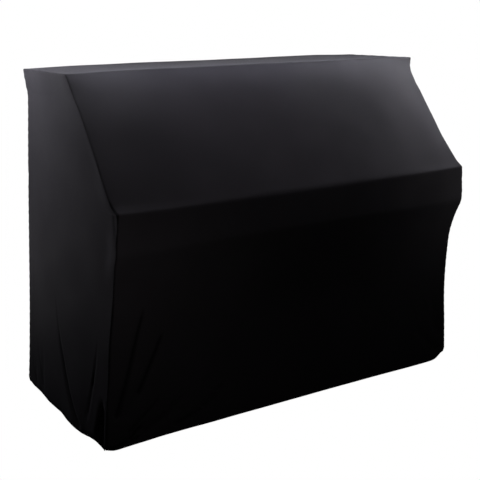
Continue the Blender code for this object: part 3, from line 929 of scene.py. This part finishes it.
def thread_material():
    """Black sewing thread: smoother than the knit, with the twist of its plies."""
    material = bpy.data.materials.new("black_thread")
    material.use_nodes = True
    nodes = Nodes(material)
    ply = nodes.noise(PLY_SCALE, 1.0)
    yarn = nodes.mix(nodes.between(ply, 0.0, 1.0), YARN_DARK, YARN_WORN)
    nodes.link(yarn, nodes.shader.inputs["Base Color"])
    nodes.link(nodes.between(ply, 0.50, 0.65), nodes.shader.inputs["Roughness"])
    nodes.bump(ply, 0.5, THREAD_RELIEF)
    nodes.shader.inputs["Specular IOR Level"].default_value = 0.2
    return material


knit = knit_material()
thread = thread_material()
body_grid, body_flat, body_shade = body_points()
side_grids = {side: side_points(side) for side in ("left", "right")}
body = build_body(body_grid, body_flat, body_shade, knit)
sides = {side: build_side(side, *side_grids[side], knit) for side in side_grids}

outer = HEM_TURN["level"].size - 1
seam_columns = BODY_EDGE["inboard"].size - LIP_COLUMNS  # no stitch goes there
hem_levels = np.append(HEM_TURN["level"][-1], spaced(FRONT_HEIGHTS))
back_levels = np.append(HEM_TURN["level"][-1], spaced(BACK_HEIGHTS))
hem_grid = place(body_grid[:, seam_columns:-seam_columns])
front_grid = hem_grid[outer : outer + hem_levels.size]
back_grid = hem_grid[::-1, ::-1][outer : outer + back_levels.size]
left_grid = place(side_grids["left"][0] * (-1.0, 1.0, 1.0))[outer:]
right_grid = place(side_grids["right"][0])[outer:, ::-1]
stitches = {
    "body": hem_stitches("body_stitches", [(front_grid, hem_levels), (back_grid, back_levels)], thread),
    "left": hem_stitches("left_stitches", [(left_grid, hem_levels)], thread),
    "right": hem_stitches("right_stitches", [(right_grid, hem_levels)], thread),
}

for piece in (body, *sides.values(), *stitches.values()):
    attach(piece, "root")
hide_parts("body_panel")
for side, sheet in sides.items():
    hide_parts(side + "_panel")

# ---------------------------------------------------------------- floor, lights and camera

scene = bpy.context.scene
scene.view_settings.view_transform = "Standard"


WHITE = (1.0, 1.0, 1.0, 1.0)
BLACK = (0.0, 0.0, 0.0, 1.0)
FLOOR_REACH = 12.0
FLOOR_GAP = 0.004  # from the solids' lowest point


def add_floor():
    """A floor that is white to the camera and throws no light on the cover."""
    mesh = bpy.data.meshes.new("floor")
    corners = [(x * FLOOR_REACH, y * FLOOR_REACH, 0.0) for x, y in ((-1, -1), (1, -1), (1, 1), (-1, 1))]
    mesh.from_pydata(corners, [], [(0, 1, 2, 3)])
    floor = bpy.data.objects.new("floor", mesh)
    floor.location.z = cad_low[2] - FLOOR_GAP
    scene.collection.objects.link(floor)
    material = bpy.data.materials.new("pale_floor")
    material.use_nodes = True
    shader = material.node_tree.nodes["Principled BSDF"]
    shader.inputs["Base Color"].default_value = BLACK
    shader.inputs["Roughness"].default_value = 1.0
    shader.inputs["Specular IOR Level"].default_value = 0.0
    shader.inputs["Emission Color"].default_value = WHITE
    shader.inputs["Emission Strength"].default_value = 1.0
    mesh.materials.append(material)
    floor.visible_diffuse = False
    floor.visible_glossy = False
    floor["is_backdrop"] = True


def add_world():
    """A backdrop that is white to the camera and throws no light on the cover."""
    world = bpy.data.worlds.new("studio")
    world.use_nodes = True
    scene.world = world
    nodes, links = world.node_tree.nodes, world.node_tree.links
    background = nodes["Background"]
    background.inputs["Color"].default_value = WHITE
    path = nodes.new("ShaderNodeLightPath")
    links.new(path.outputs["Is Camera Ray"], background.inputs["Strength"])


def add_area(name, location, target, size, power, color):
    """A soft light of two sides, turned to its target."""
    light = bpy.data.lights.new(name, "AREA")
    light.shape = "RECTANGLE"
    light.size, light.size_y = size
    light.energy = power
    light.color = color
    lamp = bpy.data.objects.new(name, light)
    lamp.location = location
    lamp.rotation_euler = (Vector(target) - Vector(location)).to_track_quat("-Z", "Y").to_euler()
    lamp.visible_camera = False
    scene.collection.objects.link(lamp)


def add_camera():
    """The photo's viewpoint, in the part's frame."""
    data = bpy.data.cameras.new("camera")
    camera = bpy.data.objects.new("camera", data)
    scene.collection.objects.link(camera)
    scene.camera = camera
    data.sensor_width = 36.0
    data.lens = 70.93
    data.shift_y = -0.12
    location = Vector((-2.007, -3.0568, 0.2631))
    yaw, pitch, roll = math.radians(33.921), math.radians(11.359), math.radians(0.117)
    forward = Vector((math.sin(yaw) * math.cos(pitch), math.cos(yaw) * math.cos(pitch), -math.sin(pitch)))
    right = Vector((math.cos(yaw), -math.sin(yaw), 0.0))
    up = right.cross(forward)
    right_rolled = right * math.cos(roll) + up * math.sin(roll)
    up_rolled = up * math.cos(roll) - right * math.sin(roll)
    turn = Matrix((right_rolled, up_rolled, -forward)).transposed().to_4x4()
    camera.matrix_world = Matrix.Translation(location) @ turn


add_floor()
add_world()
# Soft lights close round the cover: pale over its top and behind its left end, faint in front. The last
# two are broad ones further off, for the back and the right end, which the photo doesn't show.
Light = namedtuple("Light", "location target size power color")
LIGHTS = {
    "over_lid": Light(
        (0.0, 0.30, 0.40), (0.0, 0.0, 0.0), (1.6, 0.2), 5.80, (0.97, 0.95, 1.0)
    ),
    "lid_edge": Light(
        (0.0, -0.245, 0.045), (0.0, -0.215, -0.02), (1.5, 0.02), 1.06, (0.84, 0.83, 1.0)
    ),
    "lid_edge_middle": Light(
        (0.45, -0.25, 0.05), (0.45, -0.215, -0.02), (0.55, 0.02), 0.18, (0.98, 0.97, 1.0)
    ),
    "lid_edge_left": Light(
        (-0.65, -0.32, 0.12), (-0.66, -0.2, -0.02), (0.3, 0.05), 0.32, (0.95, 0.95, 1.0)
    ),
    "lid_edge_right": Light(
        (0.65, -0.32, 0.12), (0.66, -0.2, -0.02), (0.3, 0.05), 0.65, (0.94, 0.93, 1.0)
    ),
    "over_slope": Light(
        (0.0, -0.60, 0.45), (0.0, -0.3, -0.1), (1.5, 0.3), 3.53, (0.94, 0.86, 1.0)
    ),
    "left_back_top": Light(
        (-0.95, 0.26, 0.10), (-0.76, 0.12, -0.04), (0.05, 0.15), 1.81, (0.90, 0.86, 1.0)
    ),
    "left_back_high": Light(
        (-0.97, 0.33, -0.05), (-0.76, 0.15, -0.08), (0.05, 0.4), 0.71, (0.94, 0.92, 1.0)
    ),
    "left_back_middle": Light(
        (-0.97, 0.33, -0.50), (-0.77, 0.15, -0.50), (0.05, 0.6), 0.57, (0.97, 0.92, 1.0)
    ),
    "left_back_low": Light(
        (-0.97, 0.33, -0.85), (-0.77, 0.15, -0.85), (0.05, 0.3), 0.13, (1.0, 0.98, 0.99)
    ),
    "left_corner": Light(
        (-0.86, -0.12, 0.05), (-0.762, -0.1, -0.03), (0.06, 0.2), 0.10, (0.99, 0.98, 1.0)
    ),
    "right_corner": Light(
        (0.86, -0.28, 0.02), (0.765, -0.2, -0.03), (0.06, 0.06), 0.38, (0.96, 0.95, 1.0)
    ),
    "right_slope": Light(
        (1.0, -0.50, 0.0), (0.7, -0.4, -0.3), (0.2, 0.4), 0.55, (0.97, 0.96, 1.0)
    ),
    "right_edge": Light(
        (0.95, -0.42, -0.08), (0.72, -0.34, -0.2), (0.1, 0.3), 1.39, (0.91, 0.88, 1.0)
    ),
    "right_nose": Light(
        (0.95, -0.80, -0.45), (0.74, -0.52, -0.47), (0.2, 0.2), 0.46, (0.99, 0.93, 1.0)
    ),
    "front_left": Light(
        (-0.85, -0.85, -0.35), (-0.55, -0.51, -0.55), (0.3, 0.4), 0.06, (1.0, 0.98, 0.99)
    ),
    "front_knee": Light(
        (-0.90, -0.95, -0.62), (-0.6, -0.51, -0.62), (0.3, 0.3), 0.33, (1.0, 0.86, 0.93)
    ),
    "front_middle": Light(
        (-0.45, -1.05, -0.60), (-0.35, -0.51, -0.60), (0.5, 0.3), 0.12, (1.0, 0.93, 0.97)
    ),
    "behind": Light(
        (0.4, 2.2, -0.45), (0.0, 0.2, -0.6), (1.6, 0.9), 24.0, (0.95, 0.94, 1.0)
    ),
    "right_end": Light(
        (2.4, 0.5, -0.50), (0.77, 0.0, -0.55), (1.2, 0.9), 30.0, (0.95, 0.94, 1.0)
    ),
}
for name, light in LIGHTS.items():
    add_area(name, *light)
add_camera()
